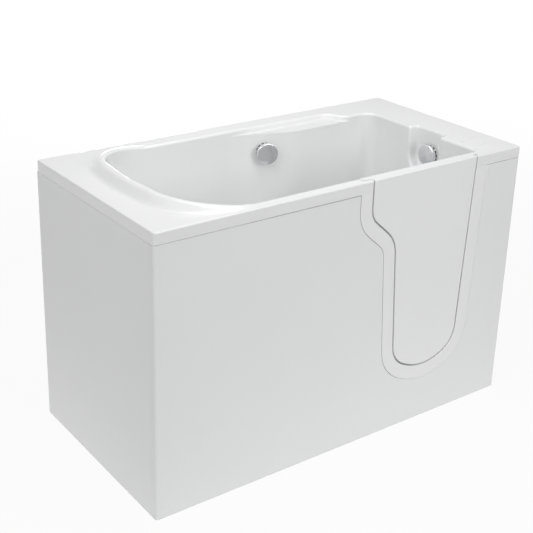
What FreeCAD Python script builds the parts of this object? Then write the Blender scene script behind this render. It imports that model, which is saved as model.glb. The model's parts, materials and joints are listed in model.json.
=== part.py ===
import FreeCAD, Part
import math
import os

# Whole tub, in millimetres: X runs along it with the door towards +X, Y from the front to the wall, Z up
tub_length = 1400.0
tub_width = 700.0
deck_height = 900.0
acrylic = 6.0
cut_over = 60.0
touch = 0.01

# Rim round the deck
rim_drop = 36.0
rim_edge_round = 5.0
rim_corner_round = 9.0

# Well, seen from above: widths of the deck left round it
front_strip = 42.0
back_strip = 66.0
leg_back_strip = 132.0
door_end_deck = 160.0
head_end_deck = 117.0
head_bulge = 30.0
head_corner_share = 0.642
head_round = 600.0
leg_front_round = 25.0
leg_back_round = 45.0
back_step_left_share = 0.5325
back_step_right_share = 0.6883
back_step_round = 300.0
lip_round = 9.0

# Seat, backrest and footwell
floor_height = 128.0
seat_height = 470.0
footwell_length = 440.0
seat_back_share = 0.363
seat_edge_round = 40.0
well_bottom_round = 22.0
backrest_foot = 52.0
deck_layer = 12.0
backrest_shares = [
    (-0.3, -0.08),
    (0.12, 0.0),
    (0.3, 0.22),
    (0.6, 0.66),
    (0.85, 0.94),
    (1.0, 1.0),
]

# Headrest roll round the head end
roll_crest = 31.0
roll_width = 58.0
roll_side_width = 33.0
roll_run = 238.0
roll_end_inset = 6.0
roll_end_trim = 4.0
roll_root = 16.0
roll_root_share = 0.1
roll_top = 9.5
roll_profile_shares = [
    (1.12, -0.08),
    (0.92, 0.02),
    (0.74, 0.12),
    (0.56, 0.36),
    (0.38, 0.68),
    (0.22, 0.89),
    (0.1, 0.975),
    (0.0, 1.0),
]

# Shelf let into the back deck
shelf_drop = 20.0
shelf_lead = 75.0
shelf_from_end = 148.0
shelf_return_run = 36.0
shelf_round = 45.0

# Niche in the door end wall, open to the deck
niche_share = 0.462
niche_half_width = 69.0
niche_depth = 35.0
niche_drop = 88.0
niche_edge_round = 10.0
niche_back_round = 12.0

# Round dish in the deck by the door
dish_from_end = 95.0
dish_from_front = 123.0
dish_top_radius = 45.0
dish_floor_radius = 38.0
dish_depth = 3.5

# Door outline on the front, from the inside of its gap
door_gap = 5.0
door_from_end = 44.0
door_top_width = 431.5
door_shoulder_drop = 120.0
door_shoulder_round = 66.0
door_shoulder_share = 0.454
door_waist_in = 104.5
door_waist_drop = 212.0
door_waist_round = 110.0
door_toe_from_end = 73.5
door_toe_width = 269.0
door_toe_rise = 77.5
door_toe_slope = 25.0
door_toe_round = 170.0
door_toe_corner_round = 94.0

# Door build-up, from the outer face inwards
door_outer_depth = 19.0
door_seal_depth = 4.0
door_seal_gap = 0.3
door_sink = 1.0
door_skin = 5.0
door_face_round = 3.5
door_flange_left = 32.0
door_flange_right = 18.0
door_flange_toe = 28.0
door_rebate_gap = 3.0
door_core_inset = 12.0
seal_inset = 5.0
seal_width = 8.0
seal_top_gap = 4.0
jamb_band = 46.0
jamb_depth_over = 3.0
jamb_edge_round = 2.5

# Door hinges
hinge_height_shares = [0.28, 0.827]
hinge_leaf_height = 72.0
hinge_from_end = 12.0
hinge_from_front = 11.0
knuckle_radius = 5.0
hinge_pin_radius = 3.0
hinge_pin_head = 4.5
hinge_pin_head_height = 2.0
hinge_running = 0.05
knuckle_gap = 0.3
tub_leaf_start = 15.0
tub_leaf_length = 46.0
tub_leaf_web = 35.0
door_leaf_start = 40.0
door_leaf_length = 66.0
door_leaf_web = 86.0

# Screws
screw_head_radius = 4.0
screw_head_height = 2.2
screw_shank_radius = 2.0
screw_bite = 5.0
hinge_screw_pitch = 48.0
tub_screw_inset = 11.0
door_screw_inset = 33.0

# Door latch
latch_inset = 15.5
latch_drop = 68.0
spindle_radius = 6.0
spindle_depth = 4.0
spindle_running = 0.05
latch_rose_radius = 25.0
latch_rose_height = 3.0
cam_gap = 0.5
cam_thickness = 4.0
cam_width = 22.0
cam_reach = 66.0
handle_stand = 25.0
handle_thickness = 12.0
handle_length = 112.0
handle_width = 20.0
handle_tip_width = 15.0
handle_hub_radius = 13.0
handle_tip_round = 7.0
handle_edge_round = 3.0
cam_tip_round = 8.0
keeper_left = 110.0
keeper_foot = 24.0
keeper_reach = 34.0
keeper_arm = 4.0
keeper_height = 40.0
keeper_screw_pitch = 22.0

# Outer panels
panel_thickness = 4.0
panel_setback = 0.5
panel_top_gap = 2.0
panel_floor_gap = 2.0
panel_side_return = 24.0
panel_joint = 1.0
panel_corner_round = 9.0
panel_edge_round = 2.5
panel_band_gap = 1.5
clip_width = 40.0
clip_height = 60.0
clip_thickness = 2.0
clip_lap = 8.0
clip_front_shares = [-0.714, -0.286, 0.886]
clip_left_shares = [-0.514, 0.514]

# Square-tube frame and feet
tube = 30.0
tube_wall = 2.0
frame_height = 74.0
rail_inset = 38.0
post_inset = 45.0
seat_leg_back_inset = 85.0
seat_leg_front_inset = 40.0
floor_rail_lead = 65.0
floor_rail_inset = 20.0
end_cap_thickness = 3.0
batten_end_gap = 40.0
foot_end_inset = 100.0
foot_pad_radius = 26.0
foot_pad_height = 14.0
foot_pad_top_radius = 17.0
foot_pad_rim = 5.0
foot_pad_floor = 5.0
foot_stud_radius = 6.0
foot_nut_width = 19.0
foot_nut_height = 10.0
stud_running = 0.05

# Boards bonded under the floor and the seat
board = 18.0
base_board_left_inset = 6.0
base_board_right_inset = 5.0
base_board_front_inset = 18.0
base_board_back_inset = 22.0
base_board_round = 30.0
seat_board_back_inset = 80.0
seat_board_front_inset = 42.0
seat_board_door_inset = 68.0
seat_board_wall_inset = 74.0
seat_board_round = 60.0

# Overflow sets: a twist knob in the wall drives the plug of its own waste
overflow_hole_radius = 26.0
overflow_seal_thickness = 3.0
overflow_flange_radius = 36.0
overflow_flange_thickness = 4.0
overflow_housing_radius = 25.0
overflow_housing_wall = 4.0
overflow_housing_depth = 36.0
overflow_spigot_drop = 45.0
overflow_socket = 12.0
overflow_pipe_radius = 14.0
overflow_pipe_wall = 3.0
overflow_pipe_bend = 60.0
rose_radius = 33.0
rose_bore = 20.0
rose_neck_radius = 25.5
rose_edge_round = 1.5
knob_radius = 37.0
knob_gap = 6.0
knob_dome = 3.0
knob_edge_round = 2.5
knob_spindle_radius = 5.0
knob_spindle_running = 0.05
end_rose_height = 4.0
end_knob_height = 13.0
back_rose_height = 12.0
back_knob_height = 17.0
back_knob_drop = 85.0

# Wastes under the footwell
waste_from_end = 140.0
back_waste_share = 0.7947
waste_hole_radius = 30.0
waste_board_hole_radius = 48.0
waste_flange_radius = 36.0
waste_flange_height = 2.5
waste_neck_radius = 29.0
waste_neck_depth = 18.0
waste_bore = 24.0
waste_spider_width = 6.0
waste_hub_radius = 8.0
waste_hub_depth = 10.0
waste_hub_sink = 2.0
waste_seal_thickness = 3.0
waste_rim_radius = 41.0
waste_rim_thickness = 4.0
waste_cup_radius = 34.0
waste_cup_wall = 3.0
waste_cup_bottom = 16.0
waste_stub = 12.0
waste_pipe_height = 44.0
waste_pipe_radius = 25.0
waste_pipe_wall = 3.0
waste_stub_wall = 3.0
pipe_running = 0.05
waste_outlet_inset = 1.0
plug_radius = 32.0
plug_height = 5.0
plug_dome = 2.0
plug_gap = 0.3
plug_stem_radius = 4.0
plug_stem_length = 52.0
plug_running = 0.05

# Places that follow from the sizes above
end_x = tub_length / 2
side_y = tub_width / 2
well_front_y = front_strip - side_y
well_back_y = side_y - back_strip
leg_back_y = side_y - leg_back_strip
well_right_x = end_x - door_end_deck
well_left_x = head_end_deck - end_x
well_mid_y = (well_front_y + well_back_y) / 2
well_length = well_right_x - well_left_x
leg_width = leg_back_y - well_front_y
head_corner_round = head_corner_share * (well_back_y - well_mid_y)
back_step_left_x = well_left_x + back_step_left_share * well_length
back_step_right_x = well_left_x + back_step_right_share * well_length
seat_front_x = well_right_x - footwell_length
seat_back_x = well_left_x + seat_back_share * (seat_front_x - well_left_x)
backrest_end_x = seat_back_x + head_bulge + head_corner_round
roll_fade_x = well_left_x + roll_run
shelf_left_x = back_step_left_x - shelf_lead
shelf_right_x = well_right_x - shelf_from_end
shelf_return_x = shelf_right_x + shelf_return_run
niche_y = well_front_y + niche_share * leg_width
niche_height = deck_height - niche_drop
dish_x = end_x - dish_from_end
dish_y = dish_from_front - side_y
rim_bottom = deck_height - rim_drop
panel_top = rim_bottom - panel_top_gap
door_upper_right_x = well_right_x - door_from_end
door_upper_left_x = door_upper_right_x - door_top_width
door_shoulder_z = deck_height - door_shoulder_drop
door_waist_x = door_upper_left_x + door_waist_in
door_waist_z = deck_height - door_waist_drop
door_toe_right_x = well_right_x - door_toe_from_end
door_toe_left_x = door_toe_right_x - door_toe_width
door_toe_half = door_toe_width / 2
door_toe_mid_x = door_toe_right_x - door_toe_half
door_toe_tilt = math.radians(door_toe_slope)
door_toe_z = floor_height + door_toe_rise
door_toe_foot = door_toe_z + door_toe_round - door_toe_round / math.cos(door_toe_tilt)
door_height = deck_height - door_toe_z
door_face_y = -side_y
door_joint_y = door_face_y + door_outer_depth
door_inner_y = well_front_y - door_sink
jamb_seat_y = door_joint_y - door_seal_depth
hinge_x = well_right_x - hinge_from_end
hinge_y = well_front_y + hinge_from_front
hinge_heights = [door_toe_z + share * door_height for share in hinge_height_shares]
latch_x = door_upper_left_x + latch_inset
latch_z = deck_height - latch_drop
rail_top = frame_height + tube
seat_underside = seat_height - acrylic - board
step_run = back_step_right_x - back_step_left_x
step_rise = well_back_y - leg_back_y
roll_end_x = roll_fade_x - roll_end_inset
rail_y = side_y - rail_inset
post_x = end_x - post_inset
seat_leg_x = [seat_back_x + seat_leg_back_inset, seat_front_x - seat_leg_front_inset]
cross_rail_x = [seat_leg_x[0], seat_front_x + floor_rail_lead, well_right_x - floor_rail_inset]
foot_x = [foot_end_inset - end_x, 0, end_x - foot_end_inset]
rail_mid = frame_height + tube / 2
rail_inner_y = rail_y - tube / 2
rail_outer_y = rail_y + tube / 2
frame_end_x = post_x + tube / 2
panel_inner_y = door_face_y + panel_setback + panel_thickness
panel_inner_x = panel_setback + panel_thickness - end_x
rim_inner_y = door_face_y + acrylic
rim_inner_x = acrylic - end_x
tub_leaf_thickness = hinge_from_end - knuckle_radius
door_leaf_thickness = hinge_y - knuckle_radius - door_inner_y
keeper_foot_x = latch_x - keeper_left
cam_front_y = door_inner_y + latch_rose_height + cam_gap
keeper_depth = cam_front_y + cam_thickness + cam_gap + keeper_arm - well_front_y
end_knob_z = niche_height
back_knob_z = deck_height - back_knob_drop
waste_x = well_right_x - waste_from_end
end_waste_y = niche_y
back_waste_y = well_front_y + back_waste_share * leg_width
overflow_flange_x = -acrylic - overflow_seal_thickness
overflow_back_x = overflow_flange_x - overflow_flange_thickness - overflow_housing_depth
overflow_mid_x = overflow_back_x + overflow_housing_depth / 2
up = FreeCAD.Vector(0, 0, 1)
down = FreeCAD.Vector(0, 0, -1)
along = FreeCAD.Vector(1, 0, 0)
inward = FreeCAD.Vector(0, 1, 0)
outward = FreeCAD.Vector(0, -1, 0)


def vec(x, y, z):
    return FreeCAD.Vector(x, y, z)


def block(x0, x1, y0, y1, z0, z1):
    return Part.makeBox(x1 - x0, y1 - y0, z1 - z0, vec(x0, y0, z0))


def rod(radius, foot, axis, length):
    return Part.makeCylinder(radius, length, foot, axis)


def ring(outer, inner, foot, axis, length):
    return rod(outer, foot, axis, length).cut(rod(inner, foot, axis, length))


def joined(first, *others):
    return first.fuse(list(others)).removeSplitter()


# A flat outline in plan, and one standing in the plane of the front
def plan(z):
    return lambda u, v: vec(u, v, z)


def front_view(y):
    return lambda u, v: vec(u, y, v)


# Unit direction from one corner to the next
def heading(start, end):
    length = math.hypot(end[0] - start[0], end[1] - start[1])
    return (end[0] - start[0]) / length, (end[1] - start[1]) / length


# Corners of a counter-clockwise outline moved out by a distance, with radii to match
def grown(corners, by):
    result = []
    for i, (u, v, r) in enumerate(corners):
        d1 = heading(corners[i - 1], corners[i])
        d2 = heading(corners[i], corners[(i + 1) % len(corners)])
        spread = 1 + d1[0] * d2[0] + d1[1] * d2[1]
        turn = d1[0] * d2[1] - d1[1] * d2[0]
        radius = r and (r + by if turn > 0 else r - by)
        result.append((u + by * (d1[1] + d2[1]) / spread, v - by * (d1[0] + d2[0]) / spread, radius))
    return result


# Closed wire of lines and tangent arcs through corners given as (u, v, radius)
def rounded_wire(corners, place):
    edges = []
    ends = []
    for i, (u, v, r) in enumerate(corners):
        back = heading(corners[i], corners[i - 1])
        on = heading(corners[i], corners[(i + 1) % len(corners)])
        half = math.acos(back[0] * on[0] + back[1] * on[1]) / 2
        reach = r / math.tan(half)
        bisector = math.hypot(back[0] + on[0], back[1] + on[1])
        depth = r / math.sin(half) - r
        middle = (u + depth * (back[0] + on[0]) / bisector, v + depth * (back[1] + on[1]) / bisector)
        start = (u + reach * back[0], v + reach * back[1])
        finish = (u + reach * on[0], v + reach * on[1])
        ends.append((start, middle, finish, r))
    for i, (start, middle, finish, r) in enumerate(ends):
        before = ends[i - 1][2]
        edges.append(Part.LineSegment(place(*before), place(*start)).toShape())
        if r:
            edges.append(Part.Arc(place(*start), place(*middle), place(*finish)).toShape())
    return Part.Wire(edges)


def prism(corners, place, travel):
    return Part.Face(rounded_wire(corners, place)).extrude(travel)


def rectangle(x0, x1, y0, y1, radius):
    return [(x0, y0, radius), (x1, y0, radius), (x1, y1, radius), (x0, y1, radius)]


# Fillet of the edges that a test picks
def softened(shape, radius, test):
    return shape.makeFillet(radius, [e for e in shape.Edges if test(e)])


def level(edge, z):
    box = edge.BoundBox
    return abs(box.ZMin - z) < touch and abs(box.ZMax - z) < touch


# Plan of the well with its head end at left_x, moved out by a wall
def well_plan(left_x, wall):
    corners = [
        (left_x + head_bulge, well_front_y, head_corner_round),
        (well_right_x, well_front_y, leg_front_round),
        (well_right_x, leg_back_y, leg_back_round),
        (back_step_right_x, leg_back_y, back_step_round),
        (back_step_left_x, well_back_y, back_step_round),
        (left_x + head_bulge, well_back_y, head_corner_round),
        (left_x, well_mid_y, head_round),
    ]
    return grown(corners, wall)


# Plan of the shelf, which runs into the well
def shelf_plan(wall):
    right_x = shelf_return_x + shelf_round
    corners = [
        (shelf_left_x, well_mid_y, 0),
        (right_x, well_mid_y, 0),
        (right_x, leg_back_y, 0),
        (shelf_return_x, leg_back_y, shelf_round),
        (shelf_right_x, well_back_y, shelf_round),
        (shelf_left_x, well_back_y, 0),
    ]
    return grown(corners, wall)


def shelf_solid(wall, top):
    bottom = deck_height - shelf_drop - wall
    return prism(shelf_plan(wall), plan(bottom), up * (top - bottom))


# Niche for the end knob: an upturned arch let into the end wall
def niche_solid(wall, top):
    half = niche_half_width + wall
    back_x = well_right_x + niche_depth + wall
    arch = rod(half, vec(well_right_x, niche_y, niche_height), along, back_x - well_right_x)
    slot = block(well_right_x, back_x, niche_y - half, niche_y + half, niche_height, top)
    solid = joined(arch, slot)
    return softened(solid, niche_back_round, lambda e: e.BoundBox.XMin > back_x - touch and not level(e, top))


# Lofted backrest between the seat and the deck
def backrest_solid(wall):
    foot = seat_height + backrest_foot
    top = deck_height - deck_layer
    wires = []
    for height_share, run_share in backrest_shares:
        x = seat_back_x + (well_left_x - seat_back_x) * run_share
        wires.append(rounded_wire(well_plan(x, wall), plan(seat_height + (top - seat_height) * height_share)))
    loft = Part.makeLoft(wires, True, False)
    return loft.common(block(-end_x, backrest_end_x, -side_y, side_y, foot, top))


# Straight-walled part of the well round the seat, with the layer at deck level that the backrest runs up to
def straight_well(wall, top):
    seat = seat_height - wall
    seat_x = seat_front_x - wall
    bottom = floor_height - wall
    body = prism(well_plan(seat_back_x, wall), plan(bottom), up * (top - bottom))
    bench = block(-end_x, seat_x, -side_y, side_y, bottom - cut_over, seat)
    edge = seat_edge_round - wall

    def front_edge(e):
        return e.BoundBox.XMin > seat_x - touch and e.BoundBox.ZMin > seat - touch

    bench = softened(bench, edge, front_edge)
    body = body.cut(bench)

    def hollow_edge(e):
        box = e.BoundBox
        across = box.XLength < touch and box.YLength > edge and box.ZMin > bottom + touch
        return box.ZMax < seat + touch and not across

    body = softened(body, well_bottom_round + wall, hollow_edge)
    foot = seat_height + backrest_foot
    body = body.cut(block(-end_x, backrest_end_x, -side_y, side_y, foot, top + cut_over))
    layer_foot = deck_height - deck_layer
    layer = prism(well_plan(well_left_x, wall), plan(layer_foot), up * (top - layer_foot))
    return joined(body, layer)


# Everything that is open: the well, shelf and niche, with their lips rounded over at deck level
def open_space():
    sky = block(-end_x, end_x, -side_y, side_y, deck_height, deck_height + cut_over)
    recesses = [shelf_solid(0, deck_height), niche_solid(0, deck_height)]
    void = joined(straight_well(0, deck_height), sky, *recesses)

    def niche_mouth(e):
        box = e.BoundBox
        on_wall = abs(box.XMin - well_right_x) < touch and box.XLength < touch
        across = abs(e.CenterOfMass.y - niche_y) < niche_half_width + touch
        return on_wall and across and box.ZMin > seat_height

    def lip(e):
        box = e.BoundBox
        return level(e, deck_height) and box.YMin > touch - side_y and box.YMax < side_y - touch

    void = softened(void, niche_edge_round, niche_mouth)
    void = softened(void, lip_round, lip)
    return void.fuse(backrest_solid(0))


# One level of the headrest roll, highest at the head and down to the deck where it fades out
def roll_wire(width_share, height_share):
    side = roll_top + (roll_side_width - roll_top) * width_share
    left = well_left_x - roll_top - (roll_width - roll_top) * width_share
    slope = roll_crest * height_share / (roll_fade_x - well_left_x)
    corners = [
        (roll_end_x, well_front_y - side, 0),
        (roll_end_x, well_back_y + side, 0),
        (left + head_bulge, well_back_y + side, head_corner_round + side),
        (left, well_mid_y, head_round),
        (left + head_bulge, well_front_y - side, head_corner_round + side),
    ]
    return rounded_wire(corners, lambda u, v: vec(u, v, deck_height + slope * (roll_fade_x - u)))


def headrest_roll():
    roll = Part.makeLoft([roll_wire(*shares) for shares in roll_profile_shares], True, False)
    root = Part.Face(roll_wire(roll_root_share, 0)).extrude(down * roll_root)
    foot = deck_height - roll_root - cut_over
    well = prism(well_plan(well_left_x, 0), plan(foot), up * (deck_height + cut_over - foot))
    kept = block(-end_x, roll_end_x - roll_end_trim, -side_y, side_y, foot, deck_height + cut_over)
    roll = joined(roll, root).cut(well).common(kept).removeSplitter()

    def lip(e):
        box = e.BoundBox
        return box.ZMin > deck_height + touch and box.XLength > touch and well.distToShape(e)[0] < touch

    return softened(roll, lip_round, lip)


# Outline of the door, counter-clockwise, with its edges moved out on three sides and an arched toe
def door_outline(left, right, toe):
    drop = left * door_shoulder_share
    foot = door_toe_foot - toe / math.cos(door_toe_tilt)
    left_rise = (door_toe_half + left) * math.tan(door_toe_tilt)
    right_rise = (door_toe_half + right) * math.tan(door_toe_tilt)
    return [
        (door_upper_left_x - left, deck_height, 0),
        (door_upper_left_x - left, door_shoulder_z - drop, door_shoulder_round + left),
        (door_waist_x - left, door_waist_z - drop, door_waist_round - left),
        (door_toe_left_x - left, foot + left_rise, door_toe_corner_round + toe),
        (door_toe_mid_x, foot, door_toe_round + toe),
        (door_toe_right_x + right, foot + right_rise, door_toe_corner_round + toe),
        (door_upper_right_x + right, deck_height, 0),
    ]


# A slab of an upright outline between two depths
def upright(corners, y0, y1):
    return prism(corners, front_view(y0), inward * (y1 - y0))


def flange_outline(gap):
    return door_outline(door_flange_left + gap, door_flange_right + gap, door_flange_toe + gap)


# Raises the open top of an outline so that a cut runs out above the deck
def open_topped(corners):
    top = deck_height + cut_over
    first, last = corners[0], corners[-1]
    return [(first[0], top, first[2])] + corners[1:-1] + [(last[0], top, last[2])]


# Doorway through the jamb, with its outer edge rounded over, and the rebate that the door closes into
def doorway():
    opening = open_topped(grown(door_outline(0, 0, 0), door_gap))
    in_front = door_face_y - cut_over
    air = block(-end_x, end_x, in_front, door_face_y, floor_height, deck_height + cut_over)
    outer = joined(upright(opening, in_front, jamb_seat_y + touch), air)

    def mouth(e):
        box = e.BoundBox
        on_face = abs(box.YMin - door_face_y) < touch and box.YLength < touch
        return on_face and box.XMin > touch - end_x and box.XMax < end_x - touch

    outer = softened(outer, jamb_edge_round, mouth)
    inner = open_topped(flange_outline(door_rebate_gap))
    rebate = upright(inner, jamb_seat_y, well_front_y + jamb_depth_over)
    return outer, rebate


def jamb():
    outline = grown(door_outline(0, 0, 0), door_gap + jamb_band)
    band = upright(outline, door_face_y, well_front_y + jamb_depth_over)
    under_deck = deck_height - acrylic / 2
    return band.common(block(-end_x, end_x, -side_y, side_y, 0, under_deck))


# Deck with the rim turned down round it
def deck():
    outline = rectangle(-end_x, end_x, -side_y, side_y, rim_corner_round)
    slab = prism(outline, plan(rim_bottom), up * rim_drop)
    slab = softened(slab, rim_edge_round, lambda e: level(e, deck_height))
    inside = grown(outline, -acrylic)
    return slab.cut(prism(inside, plan(rim_bottom - cut_over), up * (rim_drop + cut_over - acrylic)))


def dish():
    foot = vec(dish_x, dish_y, deck_height - dish_depth)
    slope = (dish_top_radius - dish_floor_radius) / dish_depth
    return Part.makeCone(dish_floor_radius, dish_top_radius + slope * dish_depth, 2 * dish_depth, foot, up)


def tub_shell():
    below = deck_height - acrylic / 2
    backing = [straight_well(acrylic, below), backrest_solid(acrylic), shelf_solid(acrylic, below)]
    shell = deck().fuse(backing + [niche_solid(acrylic, below), jamb()])
    shell = shell.cut(open_space())
    shell = shell.fuse(headrest_roll())
    holes = [placed(overflow_hole(), s) for s in (end_set, back_set)]
    for y in (end_waste_y, back_waste_y):
        holes.append(rod(waste_hole_radius, vec(waste_x, y, floor_height), down, cut_over))
    for place, axis in tub_screw_places() + keeper_screw_places():
        holes.append(screw_hole(place, axis))
    return shell.cut(list(doorway()) + [dish()] + holes)


# Flat outer panels, the front one with short returns and a cut-out for the door band
def front_panel():
    front = door_face_y + panel_setback
    right = end_x - panel_setback
    back = front + panel_side_return
    outside = [
        (-right, front, panel_corner_round),
        (right, front, panel_corner_round),
        (right, back, 0),
        (-right, back, 0),
    ]
    room = grown(outside, -panel_thickness)
    inside = room[:2] + [(u, v + cut_over, r) for u, v, r in room[2:]]
    rise = up * (panel_top - panel_floor_gap)
    panel = prism(outside, plan(panel_floor_gap), rise).cut(prism(inside, plan(panel_floor_gap), rise))
    band = open_topped(grown(door_outline(0, 0, 0), door_gap + jamb_band + panel_band_gap))
    panel = panel.cut(upright(band, front - cut_over, back + cut_over))

    def face_edge(e):
        return e.BoundBox.YMax < front + touch and e.BoundBox.ZMin > panel_floor_gap + touch

    return softened(panel, panel_edge_round, face_edge)


def left_panel():
    left = panel_setback - end_x
    front = door_face_y + panel_setback + panel_side_return + panel_joint
    panel = block(left, left + panel_thickness, front, side_y - panel_setback, panel_floor_gap, panel_top)
    return softened(panel, panel_edge_round, lambda e: level(e, panel_top) and e.BoundBox.XMax < left + touch)


# Battens that hold the foot of each panel off the frame, and clips that hold its top to the rim
def front_batten():
    reach = frame_end_x - batten_end_gap
    return block(-reach, reach, panel_inner_y, -rail_outer_y, frame_height, rail_top)


def left_batten():
    reach = rail_outer_y - batten_end_gap
    return block(panel_inner_x, -frame_end_x, -reach, reach, frame_height, rail_top)


def panel_clips():
    half = clip_width / 2
    low = panel_top - clip_height / 2
    high = panel_top + clip_height / 2
    lap = panel_top - clip_lap
    panel_back_y = panel_inner_y + clip_thickness
    rim_back_y = rim_inner_y + clip_thickness
    panel_back_x = panel_inner_x + clip_thickness
    rim_back_x = rim_inner_x + clip_thickness
    clips = []
    for share in clip_front_shares:
        x = share * end_x
        leaf = block(x - half, x + half, panel_inner_y, panel_back_y, low, rim_bottom)
        clips.append(joined(leaf, block(x - half, x + half, rim_inner_y, rim_back_y, lap, high)))
    for share in clip_left_shares:
        y = share * side_y
        leaf = block(panel_inner_x, panel_back_x, y - half, y + half, low, rim_bottom)
        clips.append(joined(leaf, block(rim_inner_x, rim_back_x, y - half, y + half, lap, high)))
    return Part.makeCompound(clips)


# Square tube from one end to another, along X, Y or Z
def square_tube(start, end):
    run = (end - start).normalize()
    half = tube / 2
    core = half - tube_wall
    across = (vec(1, 1, 1) - vec(abs(run.x), abs(run.y), abs(run.z)))
    outside = block_between(start - across * half, end + across * half)
    return outside.cut(block_between(start - across * core, end + across * core))


def block_between(low, high):
    return block(low.x, high.x, low.y, high.y, low.z, high.z)


def long_rails():
    rails = []
    for y in (-rail_y, rail_y):
        rails.append(square_tube(vec(-frame_end_x, y, rail_mid), vec(frame_end_x, y, rail_mid)))
    return Part.makeCompound(rails)


def cross_rails():
    rails = []
    for x in [-post_x] + cross_rail_x + [post_x]:
        rails.append(square_tube(vec(x, -rail_inner_y, rail_mid), vec(x, rail_inner_y, rail_mid)))
    return Part.makeCompound(rails)


# Posts on the long rails, front and back
def uprights(places, top):
    posts = []
    for x in places:
        for y in (-rail_y, rail_y):
            posts.append(square_tube(vec(x, y, rail_top), vec(x, y, top)))
    return Part.makeCompound(posts)


def corner_posts():
    return uprights((-post_x, post_x), deck_height - acrylic)


def top_rails():
    middle = deck_height - acrylic - tube / 2
    rails = []
    for x in (-post_x, post_x):
        rails.append(square_tube(vec(x, -rail_inner_y, middle), vec(x, rail_inner_y, middle)))
    return Part.makeCompound(rails)


def seat_legs():
    return uprights(seat_leg_x, seat_underside - tube)


def seat_bearers():
    middle = seat_underside - tube / 2
    bearers = []
    for x in seat_leg_x:
        bearers.append(square_tube(vec(x, -rail_outer_y, middle), vec(x, rail_outer_y, middle)))
    return Part.makeCompound(bearers)


def rail_end_caps():
    caps = []
    for x0 in (-frame_end_x - end_cap_thickness, frame_end_x):
        for y in (-rail_y, rail_y):
            half = tube / 2
            caps.append(block(x0, x0 + end_cap_thickness, y - half, y + half, frame_height, rail_top))
    return Part.makeCompound(caps)


# Adjustable feet under the long rails
def foot_places(z):
    return [vec(x, y, z) for x in foot_x for y in (-rail_y, rail_y)]


def foot_studs():
    length = frame_height - foot_pad_floor
    places = foot_places(foot_pad_floor)
    return Part.makeCompound([rod(foot_stud_radius, foot, up, length) for foot in places])


def foot_locknuts():
    nuts = []
    for foot in foot_places(frame_height - foot_nut_height):
        corner = foot_nut_width / math.sqrt(3)
        points = []
        for turn in range(7):
            angle = math.radians(60 * turn)
            points.append(foot + vec(corner * math.cos(angle), corner * math.sin(angle), 0))
        nut = Part.Face(Part.makePolygon(points)).extrude(up * foot_nut_height)
        nuts.append(nut.cut(rod(foot_stud_radius + stud_running, foot, up, foot_nut_height)))
    return Part.makeCompound(nuts)


def foot_pads():
    pads = []
    for foot in foot_places(0):
        rim = rod(foot_pad_radius, foot, up, foot_pad_rim)
        rise = foot_pad_height - foot_pad_rim
        crown = Part.makeCone(foot_pad_radius, foot_pad_top_radius, rise, foot + up * foot_pad_rim, up)
        socket = rod(foot_stud_radius + stud_running, foot + up * foot_pad_floor, up, foot_pad_height)
        pads.append(joined(rim, crown).cut(socket))
    return Part.makeCompound(pads)


# Boards bonded under the footwell and the seat
def base_board():
    left = seat_front_x + base_board_left_inset
    right = well_right_x - base_board_right_inset
    front = well_front_y + base_board_front_inset
    back = leg_back_y - base_board_back_inset
    outline = rectangle(left, right, front, back, base_board_round)
    plate = prism(outline, plan(rail_top), up * board)
    for y in (end_waste_y, back_waste_y):
        plate = plate.cut(rod(waste_board_hole_radius, vec(waste_x, y, rail_top), up, board))
    return plate


def seat_board():
    left = seat_back_x + seat_board_back_inset
    right = seat_front_x - seat_board_front_inset
    front = well_front_y + seat_board_door_inset
    back = well_back_y - seat_board_wall_inset
    outline = rectangle(left, right, front, back, seat_board_round)
    return prism(outline, plan(seat_underside), up * board)


# Door: an outer and an inner moulding joined round a core board, with a seal on the flange
def door_outer_shell():
    outline = door_outline(0, 0, 0)
    shell = upright(outline, door_face_y, door_joint_y)
    shell = softened(shell, door_face_round, lambda e: e.BoundBox.YMax < door_face_y + touch)
    return shell.cut(upright(grown(outline, -door_skin), door_face_y + door_skin, door_joint_y))


def door_inner_shell():
    shell = upright(flange_outline(0), door_joint_y, door_inner_y)
    shell = softened(shell, door_face_round, lambda e: e.BoundBox.YMin > door_inner_y - touch)
    hollow = upright(grown(door_outline(0, 0, 0), -door_skin), door_joint_y, door_inner_y - door_skin)
    holes = [rod(spindle_radius + spindle_running, vec(latch_x, door_inner_y, latch_z), outward, door_skin)]
    holes += [screw_hole(place, axis) for place, axis in door_screw_places()]
    return shell.cut([hollow] + holes)


def door_core():
    outline = grown(door_outline(0, 0, 0), -door_core_inset)
    return upright(outline, door_face_y + door_skin, door_inner_y - door_skin)


def door_seal():
    outline = door_outline(0, 0, 0)
    front = jamb_seat_y + door_seal_gap
    strip = upright(grown(outline, seal_inset + seal_width), front, door_joint_y)
    strip = strip.cut(upright(open_topped(grown(outline, seal_inset)), front, door_joint_y))
    top = deck_height - seal_top_gap
    return strip.common(block(-end_x, end_x, -side_y, side_y, 0, top))


# Screws: a round head on a face with its shank let into the piece behind
def screw(place, axis, through):
    head = rod(screw_head_radius, place, axis * -1, screw_head_height)
    return joined(head, rod(screw_shank_radius, place, axis, through + screw_bite))


def screw_hole(place, axis):
    return rod(screw_shank_radius, place, axis, screw_bite)


# Where each screw enters the wall or door behind its plate
def tub_screw_places():
    y = hinge_y + tub_leaf_start + tub_leaf_length - tub_screw_inset
    half = hinge_screw_pitch / 2
    return [(vec(well_right_x, y, z + s), along) for z in hinge_heights for s in (-half, half)]


def door_screw_places():
    x = hinge_x - door_leaf_start - door_screw_inset
    half = hinge_screw_pitch / 2
    return [(vec(x, door_inner_y, z + s), outward) for z in hinge_heights for s in (-half, half)]


def keeper_screw_places():
    x = keeper_foot_x + keeper_foot / 2
    half = keeper_screw_pitch / 2
    return [(vec(x, well_front_y, latch_z + s), outward) for s in (-half, half)]


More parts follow.
